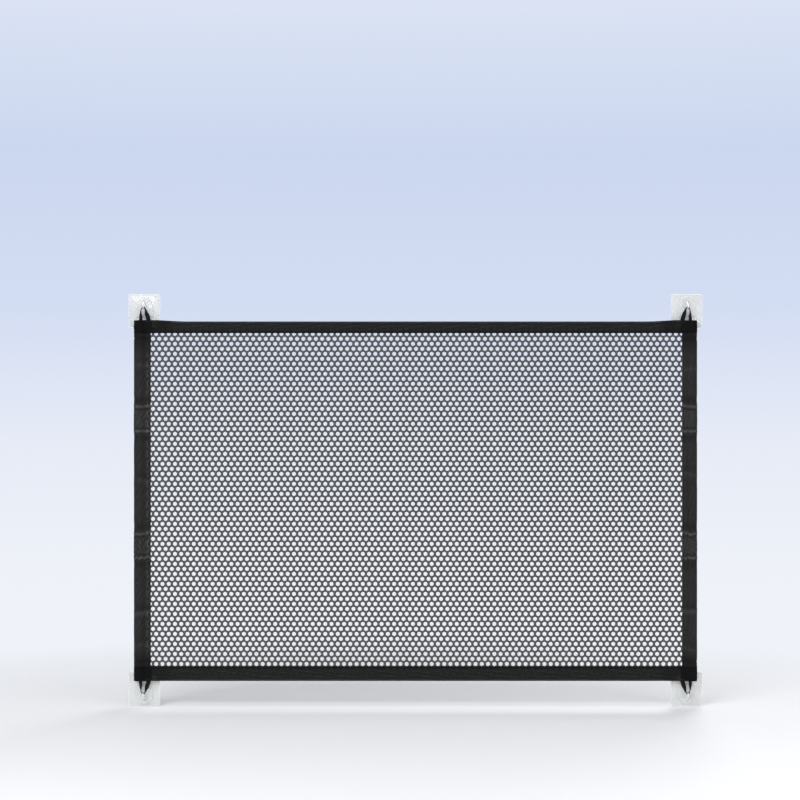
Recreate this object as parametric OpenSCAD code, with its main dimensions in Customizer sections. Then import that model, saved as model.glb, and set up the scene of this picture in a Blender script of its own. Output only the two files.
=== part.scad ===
// Mesh pet gate: a net panel held between two poles in fabric sleeves, hung by
// four elastic loops on four adhesive wall hooks.
// +X right, -Y towards the room, +Z up. The wall is at +Y.
// The origin is under the middle of the whole object, at the lower plates' edge.

/* [Panel] */
// Width over the two pole sleeves
panel_w = 1100; // [700:10:1500]
// Height between the top and bottom corners
panel_h = 705; // [400:5:900]
// How far the middle of the top edge lies below the corners
top_edge_drop = 2.5; // [0:0.5:6]
// Height of the top binding
top_binding_h = 23; // [15:1:30]
// Height of the bottom binding
bottom_binding_h = 29; // [15:1:40]
// Thickness of the net
net_t = 1.6; // [1:0.2:3]
// Thickness of a binding folded over the net
binding_t = 3.2; // [3.2:0.2:5]

/* [Pole sleeves] */
// Diameter of the sleeve round its pole
sleeve_d = 20; // [19:0.5:24]
// Width of the left sleeve's flat seam
left_seam_w = 12.5; // [9:0.5:20]
// Width of the right sleeve's flat seam
right_seam_w = 9; // [9:0.5:20]
// Wall of the fabric corner patches
patch_t = 0.7; // [0.5:0.1:1.2]

/* [Poles] */
// Outer diameter of the pole tubes
tube_d = 16; // [12:0.5:17]
// Wall of the pole tubes
tube_wall = 1.2; // [0.8:0.1:2]
// Length of the joiner between a pole's two tubes
joiner_len = 80; // [40:5:120]
// Depth of the end plugs inside the tubes
plug_depth = 12; // [6:1:20]

/* [Elastic loops] */
// Height of a loop above the panel's corner
loop_h = 26.7; // [24:0.1:34]
// Thickness of the elastic
elastic_t = 1.5; // [1:0.1:2]
// Width of the elastic where it is bunched over the hook
bunched_w = 6; // [4:0.5:7]

/* [Wall hooks] */
// Width of a hook's plate
plate_w = 62; // [50:1:80]
// Height of a hook's plate
plate_h = 67; // [58:1:80]
// How far a plate stands beyond the panel's corner
plate_beyond = 52; // [48:1:60]
// Corner radius of the plate
plate_r = 4; // [2:0.5:8]
// Thickness of the plate
plate_t = 2; // [1.5:0.1:4]
// Thickness of the adhesive pad
pad_t = 1; // [0.5:0.1:2]
// Width of the arched boss on the plate
boss_w = 33; // [24:1:40]
// Height of the boss in front of the plate
boss_t = 5; // [4:0.5:8]
// Diameter of the hook's steel wire
wire_d = 3; // [2:0.1:3.5]
// Height of the hook's tip above the bottom of its bend
tip_h = 9; // [6:0.5:11]

/* [Hidden] */
$fn = 64;

// Slack between pieces that touch in the real gate
gap = 0.1;
sleeve_r = sleeve_d / 2;
patch_r = sleeve_r + gap + patch_t;
seam_half_t = binding_t / 2;
patch_half_t = seam_half_t + gap + patch_t;
patch_cap_t = 1.5;
// The sleeve's round part runs into its flat seam over this distance
flare_len = 4;
flare_angle = 65;
// Sleeve wall: doubled fabric, slack enough for the pole to slide in
sleeve_bore_r = tube_d / 2 + 0.4;

// Hook wire, seen from the side: shank, bend of inner width hook_mouth, tip
hook_mouth = 8;
bend_r = wire_d / 2 + 1.5;
hook_reach = hook_mouth + wire_d;
shank_from_wall = pad_t + plate_t + boss_t + bend_r;
pole_from_wall = shank_from_wall + hook_reach / 2;
peg_depth = 4;

// Depth: the wall is at wall_y, the poles' axes at pole_y
depth = pole_from_wall + patch_r;
wall_y = depth / 2;
pole_y = wall_y - pole_from_wall;

// Heights
panel_z0 = plate_beyond;
panel_z1 = plate_beyond + panel_h;
total_h = panel_h + 2 * plate_beyond;
band_z0 = panel_z0 + bottom_binding_h;
band_z1 = panel_z1 - top_edge_drop - top_binding_h;
top_patch_h = panel_z1 - band_z1;
bottom_patch_h = bottom_binding_h;

// Across
pole_x = panel_w / 2 - sleeve_r;
left_reach = sleeve_r + left_seam_w;
right_reach = sleeve_r + right_seam_w;
net_x0 = -pole_x + left_reach;
net_x1 = pole_x - right_reach;
// The hooks stand in from the panel's sides
hook_inset = 18;
hook_x = panel_w / 2 - hook_inset;

// Hook and loop heights, given for a top corner
loop_z = panel_z1 + loop_h;
loop_slack = 0.2;
arch_in_r = wire_d / 2 + loop_slack;
arch_out_r = arch_in_r + elastic_t;
bend_z = loop_z - arch_out_r;
// Height of the wire's root in the boss above its bend
hook_h = 14.5;
root_z = bend_z + hook_h;

// Room between the boss and the panel's corner, and between it and the plate's far edge
boss_clear = 7;
boss_margin = 5;
boss_z0 = panel_z1 + boss_clear;
boss_top_z = total_h - boss_margin;
// Height of the boss's pointed arch over its width
arch_slope = 0.6;

// Loop legs' centres on the corner patch: the outer leg drops nearly straight down
outer_leg_x = -hook_x - 5;
inner_leg_x = -hook_x + 9.5;

// Sewing thread
thread_w = 0.6;
thread_h = 0.4;
seam_inset = 3;
tack_w = 5;
tack_h = 1.2;

// Poles, which run from pole_z0 to pole_z1 inside the sleeves
tube_r = tube_d / 2;
tube_bore_r = tube_r - tube_wall;
spigot_r = tube_bore_r - 0.05;
plug_head_t = 2;
pole_z0 = panel_z0 + patch_cap_t + gap;
pole_z1 = panel_z1 - patch_cap_t - gap;
tubes_z0 = pole_z0 + plug_head_t;
tubes_z1 = pole_z1 - plug_head_t;
tubes_mid = (tubes_z0 + tubes_z1) / 2;

// ---------- placing ----------

// Places a part drawn for the top left corner at any corner
module at_corner(right = false, bottom = false) {
    translate([0, 0, bottom ? total_h : 0])
        mirror([0, 0, bottom ? 1 : 0])
            mirror([right ? 1 : 0, 0, 0])
                children();
}

// Places a part drawn round a pole's axis, with the panel on its +X side
module at_pole(right = false) {
    translate([right ? pole_x : -pole_x, pole_y, 0])
        mirror([right ? 1 : 0, 0, 0])
            children();
}

module box(x0, x1, y0, y1, z0, z1) {
    translate([x0, y0, z0])
        cube([x1 - x0, y1 - y0, z1 - z0]);
}

// ---------- fabric ----------

// Section of a sleeve: round over the pole, then a flat seam out to reach. The flare
// starts at roots just inside the round part.
module teardrop(r, reach, half_t) {
    root_x = 0.9 * r * cos(flare_angle);
    root_y = 0.9 * r * sin(flare_angle);
    circle(r = r);
    polygon([[root_x, -root_y], [r + flare_len, -half_t], [reach, -half_t],
        [reach, half_t], [r + flare_len, half_t], [root_x, root_y]]);
}

module mesh_panel() {
    color([0.25, 0.25, 0.26])
        box(net_x0, net_x1, pole_y - net_t / 2, pole_y + net_t / 2, band_z0, band_z1);
}

module binding(z0, z1) {
    color([0.1, 0.1, 0.1])
        box(net_x0, net_x1, pole_y - binding_t / 2, pole_y + binding_t / 2, z0, z1);
}

module pole_sleeve(reach) {
    color([0.13, 0.13, 0.13])
        difference() {
            translate([0, 0, pole_z0])
                linear_extrude(pole_z1 - pole_z0)
                    teardrop(sleeve_r, reach, seam_half_t);
            translate([0, 0, pole_z0 - 1])
                cylinder(r = sleeve_bore_r, h = pole_z1 - pole_z0 + 2);
        }
}

// Fabric cap sewn over a sleeve's end, drawn for a left sleeve's top end
module corner_patch(reach, h) {
    color([0.07, 0.07, 0.07])
        translate([-pole_x, pole_y, panel_z1 - h])
            difference() {
                linear_extrude(h)
                    teardrop(patch_r, reach, patch_half_t);
                translate([0, 0, -1])
                    linear_extrude(h + 1 - patch_cap_t)
                        teardrop(sleeve_r + gap, reach + 1, seam_half_t + gap);
            }
}

// A run of thread on the front and back of a layer of the given half thickness
module thread_run(x0, x1, z0, z1, half_t) {
    color([0.05, 0.05, 0.05]) {
        box(x0, x1, pole_y - half_t - thread_h, pole_y - half_t, z0, z1);
        box(x0, x1, pole_y + half_t, pole_y + half_t + thread_h, z0, z1);
    }
}

module binding_stitching(z) {
    thread_run(net_x0 + 1, net_x1 - 1, z - thread_w / 2, z + thread_w / 2, seam_half_t);
}

module sleeve_stitching(x) {
    thread_run(x - thread_w / 2, x + thread_w / 2, band_z0 + 1, band_z1 - 1, seam_half_t);
}

module corner_bar_tacks() {
    for (right = [false, true], bottom = [false, true])
        at_corner(right, bottom)
            thread_run(inner_leg_x - tack_w / 2, inner_leg_x + tack_w / 2,
                panel_z1 - seam_inset - tack_h, panel_z1 - seam_inset, patch_half_t);
}

// A loop's outline in X-Z with its edge at ring_r round the wire and spread beyond
// the middle of each leg, down to z0. The legs start at shoulders just inside the ring.
module loop_outline(ring_r, spread, z0) {
    shoulder_x = 0.9 * ring_r;
    shoulder_z = bend_z + 0.25 * ring_r;
    translate([-hook_x, bend_z])
        circle(r = ring_r);
    polygon([[inner_leg_x + spread, z0], [-hook_x + shoulder_x, shoulder_z],
        [-hook_x - shoulder_x, shoulder_z], [outer_leg_x - spread, z0]]);
}

// Elastic loop drawn for the top left corner
module elastic_loop() {
    color([0.05, 0.05, 0.05])
        translate([0, pole_y + bunched_w / 2, 0])
            rotate([90, 0, 0])
                difference() {
                    linear_extrude(bunched_w)
                        loop_outline(arch_out_r, elastic_t / 2, panel_z1);
                    translate([0, 0, -1])
                        linear_extrude(bunched_w + 2)
                            loop_outline(arch_in_r, -elastic_t / 2, panel_z1 - gap);
                }
}

// ---------- poles ----------

module pole_tube(z0, z1) {
    color([0.2, 0.2, 0.21])
        difference() {
            translate([0, 0, z0])
                cylinder(r = tube_r, h = z1 - z0);
            translate([0, 0, z0 - 1])
                cylinder(r = tube_bore_r, h = z1 - z0 + 2);
        }
}

module pole_joiner() {
    color([0.15, 0.15, 0.15])
        translate([0, 0, tubes_mid - joiner_len / 2])
            difference() {
                cylinder(r = spigot_r, h = joiner_len);
                translate([0, 0, -1])
                    cylinder(r = spigot_r - 2, h = joiner_len + 2);
            }
}

// End plug drawn for a pole's lower end
module bottom_plug() {
    color([0.15, 0.15, 0.15])
        translate([0, 0, pole_z0]) {
            cylinder(r = tube_r, h = plug_head_t);
            translate([0, 0, plug_head_t])
                cylinder(r = spigot_r, h = plug_depth);
        }
}

module top_plug() {
    translate([0, 0, pole_z0 + pole_z1])
        mirror([0, 0, 1])
            bottom_plug();
}

// ---------- wall hooks, drawn for the top left corner ----------

module rounded_plate(w, h, r) {
    translate([-w / 2 + r, 0])
        square([w - 2 * r, h]);
    translate([-w / 2, r])
        square([w, h - 2 * r]);
    for (x = [-w / 2 + r, w / 2 - r], z = [r, h - r])
        translate([x, z])
            circle(r = r);
}

// Extrudes an X-Z outline from distance d0 to d1 off the wall
module off_wall(d0, d1) {
    translate([-hook_x, wall_y - d0, 0])
        rotate([90, 0, 0])
            linear_extrude(d1 - d0)
                children();
}

// Pointed arch on straight sides
module arch_outline() {
    rise = boss_w * arch_slope;
    arc_r = (rise * rise + boss_w * boss_w / 4) / boss_w;
    spring_z = boss_top_z - rise;
    translate([-boss_w / 2, boss_z0])
        square([boss_w, spring_z - boss_z0]);
    intersection() {
        translate([-boss_w / 2, spring_z - 1])
            square([boss_w, rise + 1]);
        translate([boss_w / 2 - arc_r, spring_z])
            circle(r = arc_r);
        translate([arc_r - boss_w / 2, spring_z])
            circle(r = arc_r);
    }
}

module hook_plate() {
    color([0.85, 0.88, 0.9])
        difference() {
            union() {
                off_wall(pad_t, pad_t + plate_t)
                    translate([0, total_h - plate_h])
                        rounded_plate(plate_w, plate_h, plate_r);
                off_wall(pad_t + plate_t, pad_t + plate_t + boss_t)
                    arch_outline();
            }
            translate([-hook_x, wall_y - pad_t - plate_t - boss_t - 1, root_z])
                rotate([-90, 0, 0])
                    cylinder(d = wire_d + gap, h = peg_depth + 1 + gap);
        }
}

module adhesive_pad() {
    inset = 1;
    color([0.95, 0.95, 0.93])
        off_wall(0, pad_t)
            translate([0, total_h - plate_h + inset])
                rounded_plate(plate_w - 2 * inset, plate_h - 2 * inset, plate_r - inset);
}

// Quarter bend of wire in the Y-Z plane. At a turn of 0 it fills the +Y, +Z quarter
// round its centre, and each 90 degrees more takes it on by one quarter, +Y towards +Z.
module wire_bend(y, z, turn) {
    translate([-hook_x, y, z])
        rotate([turn, 0, 0])
            rotate([0, -90, 0])
                rotate_extrude(angle = 90)
                    translate([bend_r, 0])
                        circle(d = wire_d);
}

module wire_up(y, z0, z1) {
    translate([-hook_x, y, z0])
        cylinder(d = wire_d, h = z1 - z0);
}

module wire_across(z, y0, y1) {
    translate([-hook_x, y0, z])
        rotate([-90, 0, 0])
            cylinder(d = wire_d, h = y1 - y0);
}

module steel_hook() {
    shank_y = wall_y - shank_from_wall;
    tip_y = shank_y - hook_reach;
    color([0.75, 0.76, 0.78])
        union() {
            wire_across(root_z, shank_y + bend_r, shank_y + bend_r + peg_depth);
            wire_bend(shank_y + bend_r, root_z - bend_r, 90);
            wire_up(shank_y, bend_z + bend_r, root_z - bend_r);
            wire_bend(shank_y - bend_r, bend_z + bend_r, -90);
            wire_across(bend_z, tip_y + bend_r, shank_y - bend_r);
            wire_bend(tip_y + bend_r, bend_z + bend_r, 180);
            wire_up(tip_y, bend_z + bend_r, bend_z + tip_h);
            translate([-hook_x, tip_y, bend_z + tip_h])
                sphere(d = wire_d);
        }
}

// ---------- nodes ----------

mesh_panel();
binding(band_z1, panel_z1 - top_edge_drop);  // top_binding
binding(panel_z0, band_z0);  // bottom_binding
at_pole() pole_sleeve(left_reach);  // left_pole_sleeve
at_pole(right = true) pole_sleeve(right_reach);  // right_pole_sleeve
at_corner() corner_patch(left_reach, top_patch_h);  // top_left_corner_patch
at_corner(right = true) corner_patch(right_reach, top_patch_h);  // top_right_corner_patch
at_corner(bottom = true) corner_patch(left_reach, bottom_patch_h);  // bottom_left_corner_patch
at_corner(right = true, bottom = true) corner_patch(right_reach, bottom_patch_h);  // bottom_right_corner_patch
binding_stitching(band_z1 + seam_inset);  // top_binding_stitching
binding_stitching(band_z0 - seam_inset);  // bottom_binding_stitching
sleeve_stitching(net_x0 - seam_inset);  // left_sleeve_stitching
sleeve_stitching(net_x1 + seam_inset);  // right_sleeve_stitching
corner_bar_tacks();

at_pole() pole_tube(tubes_mid, tubes_z1);  // left_pole_upper_tube
at_pole() pole_tube(tubes_z0, tubes_mid);  // left_pole_lower_tube
at_pole() pole_joiner();  // left_pole_joiner
at_pole() top_plug();  // left_pole_top_plug
at_pole() bottom_plug();  // left_pole_bottom_plug
at_pole(right = true) pole_tube(tubes_mid, tubes_z1);  // right_pole_upper_tube
at_pole(right = true) pole_tube(tubes_z0, tubes_mid);  // right_pole_lower_tube
at_pole(right = true) pole_joiner();  // right_pole_joiner
at_pole(right = true) top_plug();  // right_pole_top_plug
at_pole(right = true) bottom_plug();  // right_pole_bottom_plug

at_corner() elastic_loop();  // top_left_loop
at_corner(bottom = true) elastic_loop();  // bottom_left_loop
at_corner(right = true) elastic_loop();  // top_right_loop
at_corner(right = true, bottom = true) elastic_loop();  // bottom_right_loop

at_corner() hook_plate();  // top_left_hook_plate
at_corner(right = true) hook_plate();  // top_right_hook_plate
at_corner(bottom = true) hook_plate();  // bottom_left_hook_plate
at_corner(right = true, bottom = true) hook_plate();  // bottom_right_hook_plate
at_corner() steel_hook();  // top_left_hook
at_corner(right = true) steel_hook();  // top_right_hook
at_corner(bottom = true) steel_hook();  // bottom_left_hook
at_corner(right = true, bottom = true) steel_hook();  // bottom_right_hook
at_corner() adhesive_pad();  // top_left_adhesive_pad
at_corner(right = true) adhesive_pad();  // top_right_adhesive_pad
at_corner(bottom = true) adhesive_pad();  // bottom_left_adhesive_pad
at_corner(right = true, bottom = true) adhesive_pad();  // bottom_right_adhesive_pad
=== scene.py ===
import math

import bmesh
import bpy
import numpy as np
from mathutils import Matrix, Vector


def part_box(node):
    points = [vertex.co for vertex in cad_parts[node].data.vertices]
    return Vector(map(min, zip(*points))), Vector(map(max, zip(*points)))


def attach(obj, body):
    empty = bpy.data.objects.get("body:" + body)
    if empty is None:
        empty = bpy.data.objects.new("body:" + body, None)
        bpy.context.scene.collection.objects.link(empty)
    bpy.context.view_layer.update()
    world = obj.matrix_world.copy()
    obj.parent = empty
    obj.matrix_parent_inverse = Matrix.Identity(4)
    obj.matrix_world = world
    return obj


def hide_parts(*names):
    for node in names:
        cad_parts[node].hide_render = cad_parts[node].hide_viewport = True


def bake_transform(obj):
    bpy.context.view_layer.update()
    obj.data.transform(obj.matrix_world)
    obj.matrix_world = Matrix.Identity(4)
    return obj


# Looks of the mesh pet gate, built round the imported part. Lengths are in millimetres,
# which build() turns into metres; the camera and the lights are placed in metres.

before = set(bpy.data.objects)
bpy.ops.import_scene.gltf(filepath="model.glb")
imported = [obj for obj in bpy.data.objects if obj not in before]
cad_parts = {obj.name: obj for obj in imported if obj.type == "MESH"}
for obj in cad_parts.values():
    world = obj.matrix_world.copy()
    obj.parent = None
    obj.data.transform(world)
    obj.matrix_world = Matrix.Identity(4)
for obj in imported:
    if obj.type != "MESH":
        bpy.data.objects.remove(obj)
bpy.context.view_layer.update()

MM = 0.001
TAU = 2 * math.pi


def node_box(name):
    lo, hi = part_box(name)
    return np.array(lo) / MM, np.array(hi) / MM


# ---------- sizes, from the CAD nodes ----------

net_lo, net_hi = node_box("mesh_panel")
top_hi = node_box("top_binding")[1]
bottom_lo = node_box("bottom_binding")[0]
corner_lo, corner_hi = node_box("top_left_corner_patch")
bottom_corner_hi = node_box("bottom_left_corner_patch")[1]
tube_lo, tube_hi = node_box("left_pole_upper_tube")
plate_lo, plate_hi = node_box("top_left_hook_plate")
pad_lo, pad_hi = node_box("top_left_adhesive_pad")
hook_lo, hook_hi = node_box("top_left_hook")
loop_hi = node_box("top_left_loop")[1]

NET_X0, NET_X1 = net_lo[0], net_hi[0]
NET_Z0, NET_Z1 = net_lo[2], net_hi[2]
PANEL_Y = (net_lo[1] + net_hi[1]) / 2
PANEL_Z0, PANEL_Z1 = bottom_lo[2], corner_hi[2]
TOP_Z = top_hi[2]
TOTAL_H = plate_hi[2]
POLE_X = -(tube_lo[0] + tube_hi[0]) / 2
HOOK_X = -(hook_lo[0] + hook_hi[0]) / 2
WALL_Y = pad_hi[1]
WIRE_R = (hook_hi[0] - hook_lo[0]) / 2
BEND_Z = hook_lo[2] + WIRE_R

# The sleeves' radius over the cloth, and how far each reaches from its pole to the net
SLEEVE_R = 10.0
LEFT_REACH = NET_X0 + POLE_X
RIGHT_REACH = POLE_X - NET_X1
# Half the thickness of a folded edge, and the cloth's own thickness
FOLD_HALF = 1.6
CLOTH = 0.6

STITCH_INSET = 3.0
STITCH_PITCH = 3.2

# The net's holes lie in staggered rows
HOLE_PITCH = 12.24
ROW_PITCH = 9.777
HOLE_R = 4.0
HOLE_SIDES = 10
FIRST_HOLE_X = NET_X0 + 10.6
FIRST_ROW_Z = NET_Z1 - 1.0

# Where a loop's two legs leave the top left corner, and its bar tacks' width
OUTER_LEG_X = -HOOK_X - 5
INNER_LEG_X = -HOOK_X + 9.5
TACK_WIDTH = 8.0

# The four corners: name, on the right, at the bottom
CORNERS = [
    (f"{'bottom' if bottom else 'top'}_{'right' if right else 'left'}", right, bottom)
    for right in (False, True) for bottom in (False, True)
]


# ---------- mesh helpers ----------

def build(name, verts, faces, uv=None, wear_and_shading=None, sharp=None):
    """A mesh object from points in millimetres, with the weave's UVs in millimetres.
    A per-point value is above 0 where painted highlights, partly wear, lighten the cloth, and below 0
    where painted shade darkens its folds, grooves and seams."""
    mesh = bpy.data.meshes.new(name)
    mesh.from_pydata((np.asarray(verts, float) * MM).tolist(), [], faces)
    mesh.update()
    if uv is not None:
        layer = mesh.uv_layers.new(name="weave")
        loops = np.zeros(len(mesh.loops), np.int32)
        mesh.loops.foreach_get("vertex_index", loops)
        layer.data.foreach_set("uv", np.asarray(uv, np.float32)[loops].ravel())
    if wear_and_shading is not None:
        layer = mesh.attributes.new("wear_and_shading", "FLOAT", "POINT")
        layer.data.foreach_set("value", np.asarray(wear_and_shading, np.float32))
    obj = bpy.data.objects.new(name, mesh)
    bpy.context.scene.collection.objects.link(obj)
    bm = bmesh.new()
    bm.from_mesh(mesh)
    bmesh.ops.remove_doubles(bm, verts=bm.verts, dist=1e-6)
    bmesh.ops.recalc_face_normals(bm, faces=bm.faces)
    bm.to_mesh(mesh)
    bm.free()
    mesh.polygons.foreach_set("use_smooth", [True] * len(mesh.polygons))
    if sharp is not None:
        mesh.set_sharp_from_angle(angle=math.radians(sharp))
    return obj


def grid_faces(n, m, start=0, wrap=False):
    """Quads between the points of an n by m grid whose rows may be closed rings."""
    index = start + np.arange(n * m).reshape(n, m)
    right = np.roll(index, -1, axis=1) if wrap else index[:, 1:]
    left = index if wrap else index[:, :-1]
    quads = np.stack([left[:-1], right[:-1], right[1:], left[1:]], axis=-1)
    return quads.reshape(-1, 4).tolist()


def closed_tube(n, m):
    """Faces of n rings of m points, capped at both ends."""
    return grid_faces(n, m, wrap=True) + [list(range(m)), list(range((n - 1) * m, n * m))]


def shell(name, outer, inner, uv, wear_and_shading, closed_top=False):
    """A sheet with thickness: an outer and an inner grid of points, joined round their edges
    except along the last row of a sheet that closes on itself there."""
    n, m = outer.shape[:2]
    verts = np.concatenate([outer.reshape(-1, 3), inner.reshape(-1, 3)])
    faces = grid_faces(n, m) + grid_faces(n, m, n * m)
    o = np.arange(n * m).reshape(n, m)
    rims = [o[:, 0], o[:, -1], o[0]]
    if not closed_top:
        rims.append(o[-1])
    for rim in rims:
        for a, b in zip(rim[:-1], rim[1:]):
            faces.append([int(a), int(b), int(b) + n * m, int(a) + n * m])
    flat_uv = np.concatenate([uv.reshape(-1, 2)] * 2)
    both_wear = np.concatenate([np.broadcast_to(wear_and_shading, (n, m)).ravel()] * 2)
    return build(name, verts, faces, uv=flat_uv, wear_and_shading=both_wear, sharp=60)


def normals_of(path, closed=False):
    """Unit normals of a 2D path, to its left."""
    if closed:
        t = np.roll(path, -1, axis=0) - np.roll(path, 1, axis=0)
    else:
        t = np.gradient(path, axis=0)
    t /= np.linalg.norm(t, axis=1, keepdims=True)
    return np.stack([-t[:, 1], t[:, 0]], axis=1)


def outward(path, axis):
    """Normals of a path round cloth that starts on the side facing down the axis."""
    normal = normals_of(path)
    return -normal if normal[0, axis] > 0 else normal


def lengths_along(path):
    """Distance from a path's start to each of its points."""
    steps = np.linalg.norm(np.diff(path, axis=0), axis=1)
    return np.concatenate([[0], np.cumsum(steps)])


def ripple(a, b, seed, scale_a, scale_b, count=9):
    """Smooth random waves over two coordinates, about -1 to 1."""
    rng = np.random.RandomState(seed)
    total = 0
    for _ in range(count):
        fa = rng.uniform(0.4, 1.6) / scale_a * rng.choice([-1, 1])
        fb = rng.uniform(0.2, 1.6) / scale_b
        total = total + np.sin(TAU * (fa * a + fb * b) + rng.uniform(0, TAU))
    return total / (0.75 * count ** 0.5 * 1.6)


def bump(d, width):
    """1 where d is 0, fading out over about width on both sides."""
    return np.exp(-(d / width) ** 2)


def smooth_step(t):
    """From 0 to 1 as t goes from 0 to 1, level at both ends."""
    t = np.clip(t, 0, 1)
    return t * t * (3 - 2 * t)


def at_corner(p, right, bottom):
    """A point drawn for the top left corner, at any corner."""
    x, y, z = p
    return np.array([-x if right else x, y, TOTAL_H - z if bottom else z], float)


def hole_field(x, z):
    """1 at the middle of each hole in the net, 0 on the strands."""
    u = (x - FIRST_HOLE_X) / HOLE_PITCH
    v = (z - FIRST_ROW_Z) / ROW_PITCH
    waves = (np.cos(TAU * (u - v / 2)) + np.cos(TAU * (u + v / 2)) + np.cos(TAU * v)) / 3
    return smooth_step((waves + 0.1) / 0.9)


# ---------- materials ----------

class Nodes:
    """A short way to write the node tree of a new material or world."""

    def __init__(self, name, kind="materials"):
        self.owner = getattr(bpy.data, kind).new(name)
        self.owner.use_nodes = True
        self.tree = self.owner.node_tree

    def fill(self, socket, value):
        if isinstance(value, bpy.types.NodeSocket):
            self.tree.links.new(value, socket)
        else:
            socket.default_value = value

    def add(self, kind, inputs=None, **settings):
        node = self.tree.nodes.new(kind)
        for key, value in settings.items():
            setattr(node, key, value)
        for key, value in (inputs or {}).items():
            self.fill(node.inputs[key], value)
        return node

    def math(self, operation, a, b=0.0, c=0.0):
        return self.add("ShaderNodeMath", {0: a, 1: b, 2: c}, operation=operation).outputs[0]

    def place(self, scale=(1, 1, 1)):
        """Object coordinates in millimetres, stretched by scale."""
        coords = self.add("ShaderNodeTexCoord").outputs["Object"]
        mm = tuple(s / MM for s in scale)
        return self.add("ShaderNodeMapping", {"Vector": coords, "Scale": mm}).outputs[0]

    def noise(self, vector, size, detail=3.0, rough=0.55):
        """Noise whose features are about size millimetres."""
        inputs = {"Vector": vector, "Scale": 1 / size, "Detail": detail, "Roughness": rough}
        return self.add("ShaderNodeTexNoise", inputs).outputs["Fac"]

    def plies(self, vector, scale, twist, detail, detail_scale=1.0):
        """Slanting bands, like the plies of a yarn."""
        inputs = {"Vector": vector, "Scale": scale, "Distortion": twist, "Detail": detail}
        inputs["Detail Scale"] = detail_scale
        return self.add("ShaderNodeTexWave", inputs, bands_direction="DIAGONAL").outputs["Fac"]

    def ramp(self, fac, low, high, to_low, to_high):
        """The part of fac between low and high, spread from to_low to to_high."""
        inputs = {"Value": fac, 1: low, 2: high, 3: to_low, 4: to_high}
        return self.add("ShaderNodeMapRange", inputs).outputs[0]

    def mix(self, fac, dark, light):
        """From dark to light by fac; each is a colour or a socket."""
        ends = [v if isinstance(v, bpy.types.NodeSocket) else (*v, 1) for v in (dark, light)]
        return self.add("ShaderNodeMix", {0: fac, 6: ends[0], 7: ends[1]}, data_type="RGBA").outputs[2]

    def set(self, **values):
        """Values or sockets for the shader's own inputs, spaces written as underscores."""
        for key, value in values.items():
            self.fill(self.tree.nodes["Principled BSDF"].inputs[key.replace("_", " ")], value)

    def bump(self, layers):
        """Bumps stacked on each other: (height in millimetres, field) pairs."""
        normal = None
        for height, field in layers:
            inputs = {"Strength": 1.0, "Distance": height * MM, "Height": field}
            if normal is not None:
                inputs["Normal"] = normal
            normal = self.add("ShaderNodeBump", inputs).outputs[0]
        self.set(Normal=normal)


# From one yarn of a weave to the next, and the near-black painted shade mixed into the cloth's folds,
# grooves and seams
CLOTH_WEAVE = 0.62
ELASTIC_WEAVE = 0.55
PAINTED_SHADE = (0.001, 0.001, 0.001)


def weave_height(m, pitch):
    """Height of a plain weave of round yarns, from the piece's UVs in millimetres."""
    uv = m.add("ShaderNodeUVMap", uv_map="weave").outputs[0]
    parts = m.add("ShaderNodeSeparateXYZ", {0: uv})
    su, sv = (m.math("SINE", m.math("MULTIPLY", parts.outputs[k], math.pi / pitch)) for k in (0, 1))
    over = m.math("GREATER_THAN", m.math("MULTIPLY", su, sv), 0.0)
    au, av = m.math("ABSOLUTE", su), m.math("ABSOLUTE", sv)
    return m.math("MULTIPLY_ADD", m.math("SUBTRACT", au, av), over, av)


def fabric(name, dark, light, highlight_and_wear, specular, sheen):
    """Woven cloth from dark to light, with painted highlights, partly wear, and painted shade along its
    folds, from a per-point attribute.
    """
    m = Nodes(name)
    weave = weave_height(m, CLOTH_WEAVE)
    where = m.place()
    blotches = m.noise(where, 26.0, 4.0)
    streaks = m.noise(m.place((0.25, 1, 1)), 3.2, 3.0)
    fuzz = m.noise(where, 0.35, 2.0)
    tone = m.math("MULTIPLY_ADD", blotches, 0.5, m.math("MULTIPLY", streaks, 0.3))
    tone = m.math("MULTIPLY_ADD", weave, 0.35, m.math("SUBTRACT", tone, 0.12))
    cloth = m.mix(m.ramp(tone, 0.1, 0.9, 0, 1), dark, light)
    # Painted light: a lighter colour for painted highlights, partly wear, where the attribute is above
    # 0, and near-black painted shade where it is below 0
    wear_and_shading = m.add("ShaderNodeAttribute", attribute_name="wear_and_shading").outputs["Fac"]
    cloth = m.mix(m.ramp(wear_and_shading, 0.0, 1.0, 0.0, 0.75), cloth, highlight_and_wear)
    cloth = m.mix(m.ramp(wear_and_shading, -1.0, 0.0, 0.8, 0.0), cloth, PAINTED_SHADE)
    m.set(
        Base_Color=cloth,
        Roughness=m.ramp(blotches, 0.3, 0.7, 0.62, 0.78),
        Sheen_Weight=sheen,
        Sheen_Roughness=0.45,
        Specular_IOR_Level=specular,
    )
    m.bump([(0.12, weave), (0.05, fuzz), (0.25, streaks)])
    return m.owner


def net_yarn(dark, light):
    m = Nodes("net_yarn")
    where = m.place()
    knit = m.plies(where, 0.38, 2.2, 2.0, 1.5)
    fibres = m.noise(m.place((1, 1, 0.35)), 0.35, 3.0)
    shade = m.noise(where, 60.0, 3.0)
    tone = m.math("MULTIPLY_ADD", knit, 0.45, m.math("MULTIPLY", shade, 0.55))
    m.set(
        Base_Color=m.mix(tone, dark, light),
        Roughness=m.ramp(fibres, 0.3, 0.7, 0.5, 0.68),
        Sheen_Weight=0.2,
        Sheen_Roughness=0.5,
        Specular_IOR_Level=0.35,
    )
    m.bump([(0.16, knit), (0.05, fibres)])
    return m.owner


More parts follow.
